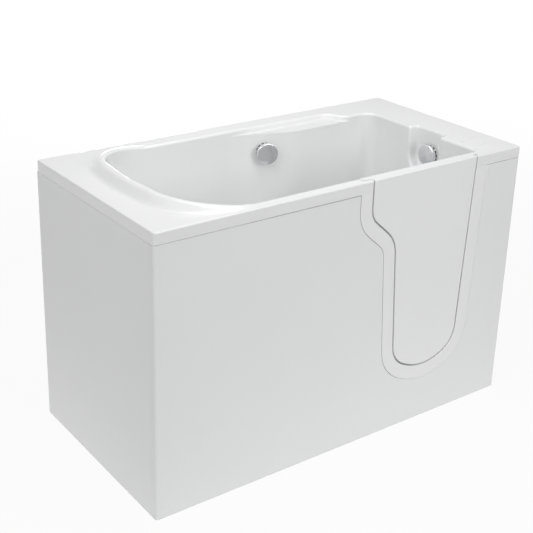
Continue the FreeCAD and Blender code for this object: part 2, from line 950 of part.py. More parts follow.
def fitted_screws(places, plate):
    screws = []
    for place, axis in places:
        screws.append(screw(place - axis * plate, axis, plate))
    return Part.makeCompound(screws)


def screwed(plate, places, thickness):
    holes = [rod(screw_shank_radius, place - axis * thickness, axis, thickness) for place, axis in places]
    return plate.cut(holes)


# Hinges: the tub leaf has the outer two knuckles and the door leaf the middle one
def knuckle(z0, z1, bore):
    return ring(knuckle_radius, bore, vec(hinge_x, hinge_y, z0), up, z1 - z0)


def knuckle_levels(z):
    low = z - hinge_leaf_height / 2
    third = hinge_leaf_height / 3
    return low, low + third, low + 2 * third, low + hinge_leaf_height


def web(x0, x1, y0, y1, z0, z1, bore):
    return block(x0, x1, y0, y1, z0, z1).cut(rod(bore, vec(hinge_x, hinge_y, z0), up, z1 - z0))


def hinge_tub_leaves():
    leaves = []
    start = hinge_y + tub_leaf_start
    face = hinge_x + knuckle_radius
    for z in hinge_heights:
        z0, z1, z2, z3 = knuckle_levels(z)
        leaf = block(face, well_right_x, start, start + tub_leaf_length, z0, z3)
        parts = []
        for a, b in ((z0, z1), (z2, z3)):
            parts.append(knuckle(a, b, hinge_pin_radius))
            parts.append(web(hinge_x, face, hinge_y, hinge_y + tub_leaf_web, a, b, hinge_pin_radius))
        leaves.append(joined(leaf, *parts))
    return screwed(Part.makeCompound(leaves), tub_screw_places(), tub_leaf_thickness)


def hinge_door_leaves():
    leaves = []
    right = hinge_x - door_leaf_start
    back = hinge_y - knuckle_radius
    bore = hinge_pin_radius + hinge_running
    for z in hinge_heights:
        z0, z1, z2, z3 = knuckle_levels(z)
        low = z1 + knuckle_gap
        high = z2 - knuckle_gap
        leaf = block(right - door_leaf_length, right, door_inner_y, back, z0, z3)
        arm = web(hinge_x - door_leaf_web, hinge_x, back, hinge_y, low, high, bore)
        leaves.append(joined(leaf, arm, knuckle(low, high, bore)))
    return screwed(Part.makeCompound(leaves), door_screw_places(), door_leaf_thickness)


def hinge_pins():
    pins = []
    for z in hinge_heights:
        low, _, _, high = knuckle_levels(z)
        shank = rod(hinge_pin_radius, vec(hinge_x, hinge_y, low), up, hinge_leaf_height)
        head = rod(hinge_pin_head, vec(hinge_x, hinge_y, high), up, hinge_pin_head_height)
        pins.append(joined(shank, head))
    return Part.makeCompound(pins)


def hinge_tub_screws():
    return fitted_screws(tub_screw_places(), tub_leaf_thickness)


def hinge_door_screws():
    return fitted_screws(door_screw_places(), door_leaf_thickness)


# Latch: a lever turns a cam that slides behind the keeper on the wall
def latch_at(y):
    return vec(latch_x, y, latch_z)


def latch_rose():
    bore = spindle_radius + spindle_running
    return ring(latch_rose_radius, bore, latch_at(door_inner_y), inward, latch_rose_height)


def latch_spindle():
    length = spindle_depth + handle_stand + handle_thickness
    return rod(spindle_radius, latch_at(door_inner_y - spindle_depth), inward, length)


def latch_cam():
    half = cam_width / 2
    tip = latch_z - cam_reach
    corners = rectangle(latch_x - half, latch_x + half, tip, latch_z + half, cam_tip_round)
    plate = upright(corners, cam_front_y, cam_front_y + cam_thickness)
    return plate.cut(rod(spindle_radius, latch_at(cam_front_y), inward, cam_thickness))


def latch_handle():
    front = door_inner_y + handle_stand
    back = front + handle_thickness
    half = handle_width / 2
    tip = handle_tip_width / 2
    tip_x = latch_x + handle_length
    corners = [(latch_x, latch_z - half, 0), (tip_x, latch_z - tip, handle_tip_round)]
    corners += [(tip_x, latch_z + tip, handle_tip_round), (latch_x, latch_z + half, 0)]
    hub = rod(handle_hub_radius, latch_at(front), inward, handle_thickness)
    lever = joined(upright(corners, front, back), hub)
    lever = softened(lever, handle_edge_round, lambda e: e.BoundBox.YMin > back - touch)
    return lever.cut(rod(spindle_radius, latch_at(front), inward, handle_thickness))


def latch_keeper():
    low = latch_z - keeper_height / 2
    high = latch_z + keeper_height / 2
    wall_x = keeper_foot_x + keeper_foot
    back = well_front_y + keeper_depth
    foot = block(keeper_foot_x, wall_x, well_front_y, back, low, high)
    arm = block(wall_x, wall_x + keeper_reach, back - keeper_arm, back, low, high)
    return screwed(joined(foot, arm), keeper_screw_places(), keeper_depth)


def keeper_screws():
    return fitted_screws(keeper_screw_places(), keeper_depth)


# Overflow sets are drawn with the wall face at the origin and +X into the tub, then placed
def placed(shape, overflow):
    copy = shape.copy()
    copy.Placement = FreeCAD.Placement(overflow["point"], FreeCAD.Rotation(up, overflow["turn"]))
    return copy


def axial(x):
    return vec(x, 0, 0)


def overflow_hole():
    return rod(overflow_hole_radius, axial(-acrylic - touch), along, acrylic + 2 * touch)


def overflow_seal(overflow):
    foot = axial(overflow_flange_x)
    washer = ring(overflow_flange_radius, overflow_hole_radius, foot, along, overflow_seal_thickness)
    return placed(washer, overflow)


def overflow_rose(overflow):
    plate = rod(rose_radius, vec(0, 0, 0), along, overflow["rose"])
    plate = softened(plate, rose_edge_round, lambda e: e.BoundBox.XMin > overflow["rose"] - touch)
    neck = rod(rose_neck_radius, axial(overflow_flange_x), along, -overflow_flange_x)
    bore = rod(rose_bore, axial(overflow_flange_x), along, overflow["rose"] - overflow_flange_x)
    return placed(joined(plate, neck).cut(bore), overflow)


def overflow_knob(overflow):
    back = overflow["rose"] + knob_gap
    front = back + overflow["knob"]
    side = front - knob_dome
    edges = [Part.LineSegment(axial(back), vec(back, knob_radius, 0)).toShape()]
    edges.append(Part.LineSegment(vec(back, knob_radius, 0), vec(side, knob_radius, 0)).toShape())
    dome_radius = (knob_radius ** 2 + knob_dome ** 2) / (2 * knob_dome)
    half_x = front - dome_radius + math.sqrt(dome_radius ** 2 - (knob_radius / 2) ** 2)
    edges.append(Part.Arc(vec(side, knob_radius, 0), vec(half_x, knob_radius / 2, 0), axial(front)).toShape())
    edges.append(Part.LineSegment(axial(front), axial(back)).toShape())
    disc = Part.Face(Part.Wire(edges)).revolve(vec(0, 0, 0), along, 360)

    def face_edge(e):
        return abs(e.BoundBox.XMin - side) < touch and e.BoundBox.XLength < touch

    disc = softened(disc, knob_edge_round, face_edge)
    spindle = rod(knob_spindle_radius, axial(overflow_back_x), along, back - overflow_back_x)
    return placed(joined(disc, spindle), overflow)


def overflow_body(overflow):
    flange_foot = axial(overflow_flange_x - overflow_flange_thickness)
    flange = rod(overflow_flange_radius, flange_foot, along, overflow_flange_thickness)
    housing = rod(overflow_housing_radius, axial(overflow_back_x), along, overflow_housing_depth)
    socket_radius = overflow_pipe_radius + overflow_pipe_wall
    spigot = rod(socket_radius, axial(overflow_mid_x), down, overflow_spigot_drop)
    body = joined(flange, housing, spigot)
    room = overflow_housing_radius - overflow_housing_wall
    cavity = rod(room, axial(overflow_back_x + overflow_housing_wall), along, cut_over)
    bearing_radius = knob_spindle_radius + knob_spindle_running
    bearing = rod(bearing_radius, axial(overflow_back_x), along, overflow_housing_wall)
    throat = rod(overflow_pipe_radius - overflow_pipe_wall, axial(overflow_mid_x), down, overflow_spigot_drop)
    foot = vec(overflow_mid_x, 0, -overflow_spigot_drop)
    socket = rod(overflow_pipe_radius + pipe_running, foot, up, overflow_socket)
    return placed(body.cut([cavity, bearing, throat, socket]), overflow)


# Pipe from the foot of an overflow body down behind the wall and along to its waste
def overflow_pipe(overflow, waste_y):
    head = overflow["point"] + FreeCAD.Rotation(up, overflow["turn"]).multVec(axial(overflow_mid_x))
    top = head + down * (overflow_spigot_drop - overflow_socket)
    flat = waste_heading(overflow, waste_y)
    bend = overflow_pipe_bend
    knee = vec(head.x, head.y, waste_pipe_height)
    end = vec(waste_x, waste_y, waste_pipe_height) - flat * waste_cup_radius
    slant = math.sqrt(0.5)
    middle = knee + flat * (bend * (1 - slant)) + up * (bend * (1 - slant))
    edges = [Part.LineSegment(top, knee + up * bend).toShape()]
    edges.append(Part.Arc(knee + up * bend, middle, knee + flat * bend).toShape())
    edges.append(Part.LineSegment(knee + flat * bend, end).toShape())
    path = Part.Wire(edges)
    outer = Part.Wire(Part.makeCircle(overflow_pipe_radius, top, down))
    inner = Part.Wire(Part.makeCircle(overflow_pipe_radius - overflow_pipe_wall, top, down))
    return path.makePipeShell([outer], True, False).cut(path.makePipeShell([inner], True, False))


def waste_heading(overflow, waste_y):
    head = overflow["point"] + FreeCAD.Rotation(up, overflow["turn"]).multVec(axial(overflow_mid_x))
    run = vec(waste_x - head.x, waste_y - head.y, 0)
    return run.normalize()


# Wastes: flange through the floor with a spider that guides the plug stem
def waste_flange(y):
    top = vec(waste_x, y, floor_height)
    plate = rod(waste_flange_radius, top, up, waste_flange_height)
    neck = rod(waste_neck_radius, top, down, waste_neck_depth)
    foot = top + down * waste_neck_depth
    shell = joined(plate, neck).cut(rod(waste_bore, foot, up, waste_neck_depth + waste_flange_height))
    hub_foot = top + down * (waste_hub_sink + waste_hub_depth)
    hub = rod(waste_hub_radius, hub_foot, up, waste_hub_depth)
    half = waste_spider_width / 2
    reach = (waste_bore + waste_neck_radius) / 2
    arms = []
    for turn in (0, 120, 240):
        arm = Part.makeBox(reach, waste_spider_width, waste_hub_depth, vec(0, -half, 0))
        arm.Placement = FreeCAD.Placement(hub_foot, FreeCAD.Rotation(up, turn))
        arms.append(arm)
    return joined(shell, hub, *arms).cut(rod(plug_stem_radius + plug_running, hub_foot, up, waste_hub_depth))


def waste_seal(y):
    foot = vec(waste_x, y, floor_height - acrylic - waste_seal_thickness)
    return ring(waste_rim_radius, waste_hole_radius, foot, up, waste_seal_thickness)


# Cup under the floor with a stub inside the end of each pipe, given as (direction, pipe radius)
def waste_body(y, pipes):
    rim_foot = floor_height - acrylic - waste_seal_thickness - waste_rim_thickness
    rim = rod(waste_rim_radius, vec(waste_x, y, rim_foot), up, waste_rim_thickness)
    cup = rod(waste_cup_radius, vec(waste_x, y, waste_cup_bottom), up, rim_foot - waste_cup_bottom)
    centre = vec(waste_x, y, waste_pipe_height)
    stubs = []
    openings = []
    for axis, radius in pipes:
        reach = waste_cup_radius + waste_stub
        stub = radius - waste_pipe_wall - pipe_running
        stubs.append(rod(stub, centre, axis, reach))
        openings.append(rod(stub - waste_stub_wall, centre, axis, reach))
    body = joined(rim, cup, *stubs)
    floor = waste_cup_bottom + waste_cup_wall
    room = waste_cup_radius - waste_cup_wall
    cavity = rod(room, vec(waste_x, y, floor), up, floor_height - floor)
    return body.cut([cavity] + openings)


def waste_plug(y):
    foot = vec(waste_x, y, floor_height + waste_flange_height + plug_gap)
    cap = rod(plug_radius, foot, up, plug_height)
    cap = softened(cap, plug_dome, lambda e: e.BoundBox.ZMin > foot.z + plug_height - touch)
    return joined(cap, rod(plug_stem_radius, foot, down, plug_stem_length))


def straight_pipe(y0, y1):
    foot = vec(waste_x, y0, waste_pipe_height)
    return ring(waste_pipe_radius, waste_pipe_radius - waste_pipe_wall, foot, inward, y1 - y0)


def waste_link_pipe():
    return straight_pipe(end_waste_y + waste_cup_radius, back_waste_y - waste_cup_radius)


def waste_outlet_pipe():
    return straight_pipe(back_waste_y + waste_cup_radius, side_y - waste_outlet_inset)


end_set = {
    "point": vec(well_right_x + niche_depth, niche_y, end_knob_z),
    "turn": 180,
    "rose": end_rose_height,
    "knob": end_knob_height,
}
back_set = {
    "point": vec((back_step_left_x + back_step_right_x) / 2, (well_back_y + leg_back_y) / 2, back_knob_z),
    "turn": math.degrees(math.atan2(-step_run, -step_rise)),
    "rose": back_rose_height,
    "knob": back_knob_height,
}
end_pipes = [(waste_heading(end_set, end_waste_y) * -1, overflow_pipe_radius), (inward, waste_pipe_radius)]
back_pipes = [(waste_heading(back_set, back_waste_y) * -1, overflow_pipe_radius), (inward, waste_pipe_radius)]
back_pipes.append((outward, waste_pipe_radius))

nodes = {
    "tub_shell": tub_shell(),
    "front_panel": front_panel(),
    "left_panel": left_panel(),
    "front_batten": front_batten(),
    "left_batten": left_batten(),
    "panel_clips": panel_clips(),
    "long_rails": long_rails(),
    "cross_rails": cross_rails(),
    "corner_posts": corner_posts(),
    "top_rails": top_rails(),
    "seat_legs": seat_legs(),
    "seat_bearers": seat_bearers(),
    "rail_end_caps": rail_end_caps(),
    "foot_studs": foot_studs(),
    "foot_locknuts": foot_locknuts(),
    "foot_pads": foot_pads(),
    "base_board": base_board(),
    "seat_board": seat_board(),
    "door_outer_shell": door_outer_shell(),
    "door_inner_shell": door_inner_shell(),
    "door_core": door_core(),
    "door_seal": door_seal(),
    "hinge_tub_leaves": hinge_tub_leaves(),
    "hinge_door_leaves": hinge_door_leaves(),
    "hinge_pins": hinge_pins(),
    "hinge_tub_screws": hinge_tub_screws(),
    "hinge_door_screws": hinge_door_screws(),
    "latch_rose": latch_rose(),
    "latch_spindle": latch_spindle(),
    "latch_cam": latch_cam(),
    "latch_handle": latch_handle(),
    "latch_keeper": latch_keeper(),
    "keeper_screws": keeper_screws(),
    "waste_link_pipe": waste_link_pipe(),
    "waste_outlet_pipe": waste_outlet_pipe(),
}
for side, overflow, waste_y, pipes in (
    ("end", end_set, end_waste_y, end_pipes),
    ("back", back_set, back_waste_y, back_pipes),
):
    nodes[side + "_overflow_body"] = overflow_body(overflow)
    nodes[side + "_overflow_seal"] = overflow_seal(overflow)
    nodes[side + "_overflow_rose"] = overflow_rose(overflow)
    nodes[side + "_overflow_knob"] = overflow_knob(overflow)
    nodes[side + "_overflow_pipe"] = overflow_pipe(overflow, waste_y)
    nodes[side + "_waste_flange"] = waste_flange(waste_y)
    nodes[side + "_waste_seal"] = waste_seal(waste_y)
    nodes[side + "_waste_body"] = waste_body(waste_y, pipes)
    nodes[side + "_waste_plug"] = waste_plug(waste_y)

os.makedirs("parts", exist_ok=True)
for name, shape in nodes.items():
    shape.exportStep("parts/" + name + ".step")
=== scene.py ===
import bmesh
import bpy
import json
import math
from mathutils import Matrix, Vector


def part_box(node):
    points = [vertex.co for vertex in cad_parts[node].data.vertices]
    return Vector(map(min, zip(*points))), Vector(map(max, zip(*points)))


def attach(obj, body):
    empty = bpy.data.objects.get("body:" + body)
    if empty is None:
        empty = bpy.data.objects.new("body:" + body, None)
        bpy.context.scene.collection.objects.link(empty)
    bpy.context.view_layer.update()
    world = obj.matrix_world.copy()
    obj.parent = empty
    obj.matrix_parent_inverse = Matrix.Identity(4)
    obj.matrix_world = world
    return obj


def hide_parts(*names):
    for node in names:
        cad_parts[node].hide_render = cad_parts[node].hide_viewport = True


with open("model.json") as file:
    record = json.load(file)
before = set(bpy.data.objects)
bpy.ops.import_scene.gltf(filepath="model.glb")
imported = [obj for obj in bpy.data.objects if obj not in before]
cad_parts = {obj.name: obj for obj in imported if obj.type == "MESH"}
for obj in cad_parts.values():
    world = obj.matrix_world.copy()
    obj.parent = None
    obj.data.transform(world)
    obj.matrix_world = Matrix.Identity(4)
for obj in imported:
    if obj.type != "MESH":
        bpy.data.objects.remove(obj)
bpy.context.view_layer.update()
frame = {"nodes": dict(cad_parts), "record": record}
cadNodes = frame["nodes"]
behaviour = frame["record"]["behaviour"]
slotOf = {s["node"]: s["material_slot"] for s in frame["record"]["subparts"]}
bodyOf = {node: body for body, nodes in behaviour["bodies"].items() for node in nodes}
scene = bpy.context.scene
print("frame loaded:", len(cadNodes), "nodes")


# node helpers, where an underscore in a keyword stands for the space in a socket's name
def newMaterial(name):
    material = bpy.data.materials.new(name)
    material.use_nodes = True
    tree = material.node_tree
    return material, tree, tree.nodes["Principled BSDF"]


def addNode(tree, kind, **settings):
    node = tree.nodes.new(kind)
    for key, value in settings.items():
        setattr(node, key, value)
    return node


def setInputs(node, **values):
    for key, value in values.items():
        node.inputs[key.replace("_", " ")].default_value = value


def wire(tree, node, **sockets):
    for key, socket in sockets.items():
        tree.links.new(socket, node.inputs[key.replace("_", " ")])


# a socket is linked, and anything else is set as the input's own value
def feed(tree, target, value):
    if isinstance(value, bpy.types.NodeSocket):
        tree.links.new(value, target)
    else:
        target.default_value = value


def maths(tree, operation, a, b=0.0):
    node = addNode(tree, "ShaderNodeMath", operation=operation)
    for target, value in zip(node.inputs, (a, b)):
        feed(tree, target, value)
    return node.outputs["Value"]


def vectorMaths(tree, operation, a, b=(0, 0, 0)):
    node = addNode(tree, "ShaderNodeVectorMath", operation=operation)
    for target, value in zip(node.inputs, (a, b)):
        feed(tree, target, value)
    return node.outputs["Value" if operation in ("DOT_PRODUCT", "LENGTH") else "Vector"]


# colour or number mixed by a mask, through the sockets of its own type
def mixed(tree, mask, a, b, kind="RGBA"):
    node = addNode(tree, "ShaderNodeMix", data_type=kind)
    first, second, result = (6, 7, 2) if kind == "RGBA" else (2, 3, 0)
    for place, value in ((0, mask), (first, a), (second, b)):
        feed(tree, node.inputs[place], value)
    return node.outputs[result]


def objectCoords(tree, scale=(1, 1, 1)):
    coords = addNode(tree, "ShaderNodeTexCoord")
    mapping = addNode(tree, "ShaderNodeMapping")
    setInputs(mapping, Scale=scale)
    wire(tree, mapping, Vector=coords.outputs["Object"])
    return mapping.outputs["Vector"]


def noise(tree, vector, scale, detail, roughness=0.5):
    node = addNode(tree, "ShaderNodeTexNoise")
    setInputs(node, Scale=scale, Detail=detail, Roughness=roughness)
    wire(tree, node, Vector=vector)
    return node.outputs["Fac"]


def ramp(tree, factor, low, high, start=0.3, end=0.7):
    node = addNode(tree, "ShaderNodeValToRGB")
    for element, position, colour in zip(node.color_ramp.elements, (start, end), (low, high)):
        element.position = position
        element.color = (*colour, 1)
    wire(tree, node, Fac=factor)
    return node.outputs["Color"]


def span(tree, factor, low, high, start=0.0, end=1.0):
    node = addNode(tree, "ShaderNodeMapRange")
    setInputs(node, From_Min=start, From_Max=end, To_Min=low, To_Max=high)
    wire(tree, node, Value=factor)
    return node.outputs["Result"]


def bump(tree, height, distance, strength, normal=None):
    node = addNode(tree, "ShaderNodeBump")
    setInputs(node, Distance=distance, Strength=strength)
    wire(tree, node, Height=height)
    if normal is not None:
        wire(tree, node, Normal=normal)
    return node.outputs["Normal"]


def softEdge(tree, look):
    node = addNode(tree, "ShaderNodeBevel", samples=look["edgeSamples"])
    setInputs(node, Radius=look["edge"])
    return node.outputs["Normal"]


# white acrylic: glossy where it shows, glass-fibre laminate on the hidden side of the shell
acrylic = {
    "white": (0.92, 0.922, 0.924), "shade": (0.908, 0.911, 0.913), "cloud": (3.0, 2.0),
    "roughness": (0.10, 0.18), "glossPatch": (14.0, 4.0),
    "coat": 0.35, "coatRoughness": 0.06, "ior": 1.49,
    "edge": 0.0012, "edgeSamples": 4,
    "ripple": (40.0, 2.0), "rippleHeight": 0.0004, "rippleStrength": 0.06,
}
laminate = {
    "low": (0.56, 0.53, 0.43), "high": (0.70, 0.67, 0.57), "range": (0.35, 0.65), "roughness": 0.62,
    "strand": (160.0, 6.0, 0.75), "strandHeight": 0.0015, "strandStrength": 0.7,
    "footwellMiddle": (0.32, -0.05, 0), "bandBack": -0.346, "steep": 0.25,
}
rim = {"deckTop": 0.9, "bottom": 0.863, "inside": (0.69, 0.34), "draft": 0.13}


# clouded white and patchy gloss under a clear coat, for the acrylic and the panels
def plasticBase(tree, vector, look):
    white = ramp(tree, noise(tree, vector, *look["cloud"]), look["shade"], look["white"])
    gloss = span(tree, noise(tree, vector, *look["glossPatch"]), *look["roughness"])
    return white, gloss


def coatOver(shader, look):
    setInputs(shader, Coat_Weight=look["coat"], Coat_Roughness=look["coatRoughness"], IOR=look["ior"])


# faces that turn away from the footwell or down, below the rim and behind the door frame
def laminateMask(tree, coords, place):
    turn = addNode(tree, "ShaderNodeSeparateXYZ")
    wire(tree, turn, Vector=coords.outputs["Normal"])
    tilt = turn.outputs["Z"]
    reach = vectorMaths(tree, "SUBTRACT", coords.outputs["Object"], laminate["footwellMiddle"])
    level = vectorMaths(tree, "MULTIPLY", reach, (1, 1, 0))
    facing = vectorMaths(tree, "DOT_PRODUCT", level, coords.outputs["Normal"])
    outward = maths(tree, "GREATER_THAN", facing, 0.0)
    steep = maths(tree, "LESS_THAN", tilt, laminate["steep"])
    under = maths(tree, "LESS_THAN", tilt, -laminate["steep"])
    away = maths(tree, "MAXIMUM", maths(tree, "MULTIPLY", outward, steep), under)
    below = maths(tree, "LESS_THAN", place.outputs["Z"], rim["bottom"])
    behind = maths(tree, "GREATER_THAN", place.outputs["Y"], laminate["bandBack"])
    return maths(tree, "MULTIPLY", maths(tree, "MULTIPLY", away, below), behind)


# slight draft of the rim's outer faces, as a height that falls from the deck to their lower edge
def rimFall(tree, place):
    atEnd = maths(tree, "GREATER_THAN", maths(tree, "ABSOLUTE", place.outputs["X"]), rim["inside"][0])
    atSide = maths(tree, "GREATER_THAN", maths(tree, "ABSOLUTE", place.outputs["Y"]), rim["inside"][1])
    drop = maths(tree, "SUBTRACT", place.outputs["Z"], rim["deckTop"])
    hang = maths(tree, "MAXIMUM", drop, rim["bottom"] - rim["deckTop"])
    return maths(tree, "MULTIPLY", maths(tree, "MAXIMUM", atEnd, atSide), hang)


def makeAcrylic(name, laminated):
    material, tree, shader = newMaterial(name)
    vector = objectCoords(tree)
    white, gloss = plasticBase(tree, vector, acrylic)
    ripple = noise(tree, vector, *acrylic["ripple"])
    normal = bump(tree, ripple, acrylic["rippleHeight"], acrylic["rippleStrength"], softEdge(tree, acrylic))
    if laminated:
        coords = addNode(tree, "ShaderNodeTexCoord")
        place = addNode(tree, "ShaderNodeSeparateXYZ")
        wire(tree, place, Vector=coords.outputs["Object"])
        mask = laminateMask(tree, coords, place)
        strands = noise(tree, vector, *laminate["strand"])
        backing = ramp(tree, strands, laminate["low"], laminate["high"], *laminate["range"])
        white = mixed(tree, mask, white, backing)
        gloss = mixed(tree, mask, gloss, laminate["roughness"], "FLOAT")
        relief = maths(tree, "MULTIPLY", strands, mask)
        normal = bump(tree, relief, laminate["strandHeight"], laminate["strandStrength"], normal)
        normal = bump(tree, rimFall(tree, place), rim["draft"], 1.0, normal)
    wire(tree, shader, Base_Color=white, Roughness=gloss, Normal=normal)
    coatOver(shader, acrylic)
    return material


# moulded panels and their trim: the same white with a slow waviness in the sheet
panelSheet = {
    "white": (0.892, 0.895, 0.898), "shade": (0.876, 0.88, 0.884), "cloud": (1.7, 2.0),
    "roughness": (0.14, 0.22), "glossPatch": (18.0, 4.0),
    "coat": 0.25, "coatRoughness": 0.08, "ior": 1.49,
    "edge": 0.004, "edgeSamples": 6,
    "fine": (300.0, 2.0), "fineHeight": 0.0001, "fineStrength": 0.1,
    "wave": (2.6, 1.0), "waveHeight": 0.004, "waveStrength": 0.25,
}


def makePanel(name, rounded):
    material, tree, shader = newMaterial(name)
    vector = objectCoords(tree)
    white, gloss = plasticBase(tree, vector, panelSheet)
    normal = softEdge(tree, panelSheet) if rounded else None
    for relief in ("fine", "wave"):
        height = noise(tree, vector, *panelSheet[relief])
        normal = bump(tree, height, panelSheet[relief + "Height"], panelSheet[relief + "Strength"], normal)
    wire(tree, shader, Base_Color=white, Roughness=gloss, Normal=normal)
    coatOver(shader, panelSheet)
    return material


# polished chrome with faint wiping marks
chromePlate = {
    "colour": (0.79, 0.80, 0.81), "dull": 0.97, "tone": (30.0, 2.0),
    "roughness": (0.04, 0.11), "smear": (45.0, 5.0, 0.6), "smearStretch": (1, 1, 4),
}


def makeChrome():
    material, tree, shader = newMaterial("chromePlate")
    tone = noise(tree, objectCoords(tree), *chromePlate["tone"])
    smears = noise(tree, objectCoords(tree, chromePlate["smearStretch"]), *chromePlate["smear"])
    dull = tuple(c * chromePlate["dull"] for c in chromePlate["colour"])
    wire(
        tree, shader, Base_Color=ramp(tree, tone, dull, chromePlate["colour"]),
        Roughness=span(tree, smears, *chromePlate["roughness"]),
    )
    setInputs(shader, Metallic=1.0)
    return material


# overflow roses: chrome with painted shade in the pattern of water slots round the side, under the knob; no
# slots are cut in the mesh
paintedSlotShade = {"count": 14, "share": -0.55, "paintedShade": (0.012, 0.012, 0.013), "roughness": 0.5}


def makeRose(name, middle, axis):
    material, tree, shader = newMaterial(name)
    coords = addNode(tree, "ShaderNodeTexCoord")
    reach = vectorMaths(tree, "SUBTRACT", coords.outputs["Object"], middle)
    across = Vector(axis).cross(Vector((0, 0, 1))).normalized()
    sides = [vectorMaths(tree, "DOT_PRODUCT", reach, way) for way in (across, Vector(axis).cross(across))]
    turn = maths(tree, "MULTIPLY", maths(tree, "ARCTAN2", *sides), paintedSlotShade["count"])
    # slot mask where shade is painted: dark colour, no metal and rough, standing in for the shade inside open
    # slots
    slotShade = maths(tree, "GREATER_THAN", maths(tree, "SINE", turn), paintedSlotShade["share"])
    wire(
        tree, shader, Base_Color=mixed(tree, slotShade, (*chromePlate["colour"], 1), (*paintedSlotShade["paintedShade"], 1)),
        Metallic=mixed(tree, slotShade, 1.0, 0.0, "FLOAT"),
        Roughness=mixed(tree, slotShade, chromePlate["roughness"][1], paintedSlotShade["roughness"], "FLOAT"),
    )
    return material


# galvanised square tube: crystal spangle over a grey base
spangle = {
    "low": (0.44, 0.455, 0.47), "high": (0.60, 0.61, 0.62), "range": (0.1, 0.9), "crystal": 110.0,
    "roughness": (0.32, 0.52), "metal": 0.85, "dent": (60.0, 4.0), "dentHeight": 0.0004, "dentStrength": 0.3,
}


def makeGalvanised():
    material, tree, shader = newMaterial("galvanisedTube")
    vector = objectCoords(tree)
    cells = addNode(tree, "ShaderNodeTexVoronoi")
    setInputs(cells, Scale=spangle["crystal"])
    wire(tree, cells, Vector=vector)
    grey = addNode(tree, "ShaderNodeRGBToBW")
    wire(tree, grey, Color=cells.outputs["Color"])
    facet = grey.outputs["Val"]
    dents = noise(tree, vector, *spangle["dent"])
    wire(
        tree, shader, Base_Color=ramp(tree, facet, spangle["low"], spangle["high"], *spangle["range"]),
        Roughness=span(tree, facet, *spangle["roughness"]),
        Normal=bump(tree, dents, spangle["dentHeight"], spangle["dentStrength"]),
    )
    setInputs(shader, Metallic=spangle["metal"])
    return material


# zinc plated fixings
zinc = {
    "low": (0.50, 0.51, 0.52), "high": (0.66, 0.67, 0.68), "roughness": (0.22, 0.38),
    "blotch": (120.0, 4.0, 0.6), "grain": (500.0, 2.0), "grainHeight": 0.0001, "grainStrength": 0.2,
}


def makeZinc():
    material, tree, shader = newMaterial("zincPlate")
    vector = objectCoords(tree)
    blotch = noise(tree, vector, *zinc["blotch"])
    grain = noise(tree, vector, *zinc["grain"])
    wire(
        tree, shader, Base_Color=ramp(tree, blotch, zinc["low"], zinc["high"]),
        Roughness=span(tree, blotch, *zinc["roughness"]),
        Normal=bump(tree, grain, zinc["grainHeight"], zinc["grainStrength"]),
    )
    setInputs(shader, Metallic=1.0)
    return material


# birch ply and battens: long grain, with the plies showing on the edges
plywood = {
    "low": (0.47, 0.33, 0.19), "high": (0.70, 0.55, 0.36), "range": (0.3, 0.75), "roughness": (0.5, 0.72),
    "stretch": (5.0, 90.0, 90.0), "grain": (1.0, 6.0, 0.65), "grainShare": 0.8,
    "grainHeight": 0.0006, "grainStrength": 0.35,
    "ply": 56.0, "plyWander": 0.6, "plyDetail": 2.0, "plyShare": 0.25,
}


def makePlywood():
    material, tree, shader = newMaterial("birchPly")
    grain = noise(tree, objectCoords(tree, plywood["stretch"]), *plywood["grain"])
    plies = addNode(tree, "ShaderNodeTexWave", wave_type="BANDS", bands_direction="Z")
    setInputs(plies, Scale=plywood["ply"], Distortion=plywood["plyWander"], Detail=plywood["plyDetail"])
    wire(tree, plies, Vector=objectCoords(tree))
    grainPart = maths(tree, "MULTIPLY", grain, plywood["grainShare"])
    plyPart = maths(tree, "MULTIPLY", plies.outputs["Fac"], plywood["plyShare"])
    streaks = maths(tree, "ADD", grainPart, plyPart)
    wire(
        tree, shader, Base_Color=ramp(tree, streaks, plywood["low"], plywood["high"], *plywood["range"]),
        Roughness=span(tree, grain, *plywood["roughness"]),
        Normal=bump(tree, grain, plywood["grainHeight"], plywood["grainStrength"]),
    )
    return material


# moulded plastics and rubber share one recipe with their own numbers
mouldings = {
    "pipePlastic": {
        "low": (0.72, 0.72, 0.71), "high": (0.78, 0.78, 0.77), "roughness": (0.32, 0.45),
        "grain": 420.0, "depth": 0.00015,
    },
    "blackPlastic": {
        "low": (0.028, 0.028, 0.03), "high": (0.05, 0.05, 0.053), "roughness": (0.42, 0.6),
        "grain": 520.0, "depth": 0.0003,
    },
    "sealRubber": {
        "low": (0.60, 0.60, 0.59), "high": (0.70, 0.70, 0.69), "roughness": (0.55, 0.7),
        "grain": 700.0, "depth": 0.0002,
    },
}
mouldingSkin = {"patch": (25.0, 4.0), "grainDetail": 2.0, "grainStrength": 0.4}


def makeMoulding(name):
    look = mouldings[name]
    material, tree, shader = newMaterial(name)
    vector = objectCoords(tree)
    patch = noise(tree, vector, *mouldingSkin["patch"])
    grain = noise(tree, vector, look["grain"], mouldingSkin["grainDetail"])
    wire(
        tree, shader, Base_Color=ramp(tree, patch, look["low"], look["high"]),
        Roughness=span(tree, patch, *look["roughness"]),
        Normal=bump(tree, grain, look["depth"], mouldingSkin["grainStrength"]),
    )
    return material


finishes = {
    "acrylic": makeAcrylic("doorAcrylic", False),
    "panel": makePanel("panelSheet", True),
    "chrome": makeChrome(),
    "frame_steel": makeGalvanised(),
    "zinc_steel": makeZinc(),
    "timber": makePlywood(),
    "pipe_plastic": makeMoulding("pipePlastic"),
    "black_plastic": makeMoulding("blackPlastic"),
    "seal_rubber": makeMoulding("sealRubber"),
}
own = {"tub_shell": makeAcrylic("shellAcrylic", True)}
for joint in behaviour["joints"]:
    if joint["name"].endswith("knob_turn"):
        end = joint["name"].split("_")[0]
        own[end + "_overflow_rose"] = makeRose(end + "Rose", joint["pos_m"], joint["axis"])
print("finishes made:", len(finishes) + len(own))


